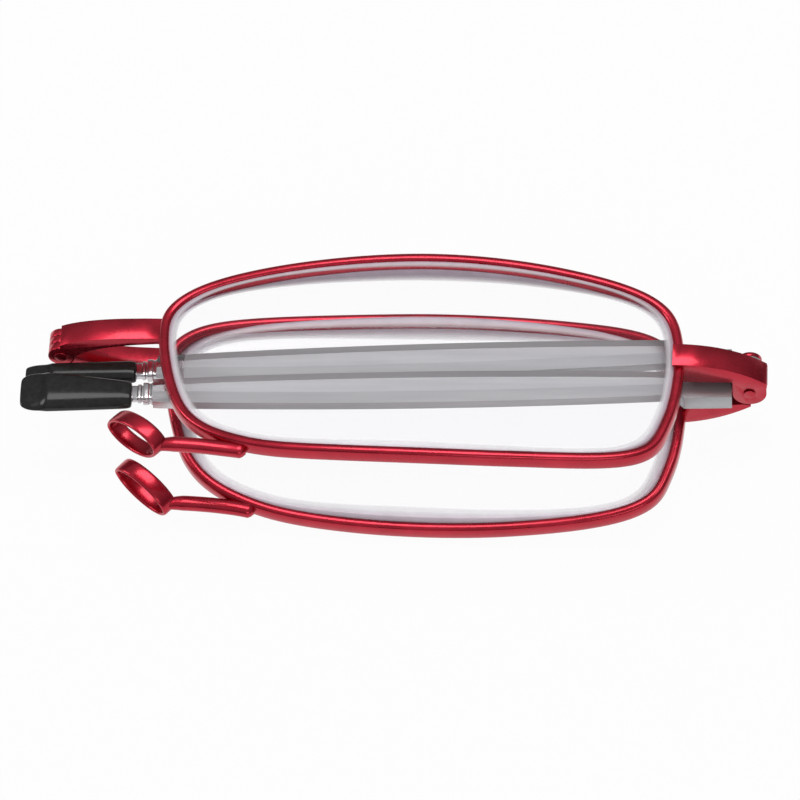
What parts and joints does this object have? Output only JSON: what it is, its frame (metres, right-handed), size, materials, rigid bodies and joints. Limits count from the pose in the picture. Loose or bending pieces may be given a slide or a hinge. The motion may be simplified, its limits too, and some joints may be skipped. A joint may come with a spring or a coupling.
{
  "type": "folding reading glasses",
  "caption": "Pocket reading glasses that fold at the bridge and both temples, shown folded flat, with telescopic temples between the stacked rims.",
  "frame": {"origin": "on the resting plane, under the middle of the bounding box of the folded glasses", "axes": "+X from the bridge hinge to the temple hinges, +Y up when the glasses are worn, +Z up from the right-eye lens, which lies below, to the left-eye lens"},
  "size_m": [0.0754, 0.027, 0.0142],
  "materials": {
    "red_lacquer": "glossy candy red lacquer over metal",
    "clear_lens": "clear coated plastic lens with a faint violet reflection",
    "satin_steel": "satin silver",
    "polished_steel": "bright polished",
    "stop_plastic": "plain white bushing, hidden inside the tube",
    "black_tip": "smooth glossy black"
  },
  "bodies": {
    "frame_right": {"right_rim": "red_lacquer", "right_lens": "clear_lens", "right_bridge_half": "red_lacquer", "right_end_piece": "red_lacquer", "right_nose_pad": "red_lacquer", "right_rim_screw": "polished_steel", "right_hinge_pin": "red_lacquer", "bridge_pin": "red_lacquer"},
    "right_temple": {"right_hinge_block": "polished_steel", "right_main_tube": "satin_steel"},
    "right_middle": {"right_middle_tube": "polished_steel", "right_middle_stop": "stop_plastic"},
    "right_inner": {"right_inner_rod": "polished_steel", "right_rod_stop": "stop_plastic", "right_ear_tip": "black_tip"},
    "frame_left": {"left_rim": "red_lacquer", "left_lens": "clear_lens", "left_bridge_half": "red_lacquer", "left_end_piece": "red_lacquer", "left_nose_pad": "red_lacquer", "left_rim_screw": "polished_steel", "left_hinge_pin": "red_lacquer"},
    "left_temple": {"left_hinge_block": "polished_steel", "left_main_tube": "satin_steel"},
    "left_middle": {"left_middle_tube": "polished_steel", "left_middle_stop": "stop_plastic"},
    "left_inner": {"left_inner_rod": "polished_steel", "left_rod_stop": "stop_plastic", "left_ear_tip": "black_tip"}
  },
  "joints": [
    {"name": "bridge_fold", "type": "hinge", "parent": "frame_right", "child": "frame_left", "pos_m": [-0.03397, 0.0059, 0.0071], "axis": [0, -1, 0], "range_deg": [0, 180]},
    {"name": "left_temple_fold", "type": "hinge", "parent": "frame_left", "child": "left_temple", "pos_m": [0.03592, 0.00085, 0.0071], "axis": [0, -1, 0], "range_deg": [0, 1]},
    {"name": "right_temple_fold", "type": "hinge", "parent": "frame_right", "child": "right_temple", "pos_m": [0.03592, 0.00315, 0.0071], "axis": [0, 1, 0], "range_deg": [0, 1.85]},
    {"name": "left_middle_slide", "type": "slide", "parent": "left_temple", "child": "left_middle", "axis": [-0.9996, -0.0236, 0.0131], "range_m": [0, 0.025]},
    {"name": "left_inner_slide", "type": "slide", "parent": "left_middle", "child": "left_inner", "axis": [-0.9996, -0.0236, 0.0131], "range_m": [0, 0.024]},
    {"name": "right_middle_slide", "type": "slide", "parent": "right_temple", "child": "right_middle", "axis": [-0.9996, -0.0236, -0.0131], "range_m": [0, 0.025]},
    {"name": "right_inner_slide", "type": "slide", "parent": "right_middle", "child": "right_inner", "axis": [-0.9996, -0.0236, -0.0131], "range_m": [0, 0.024]}
  ]
}
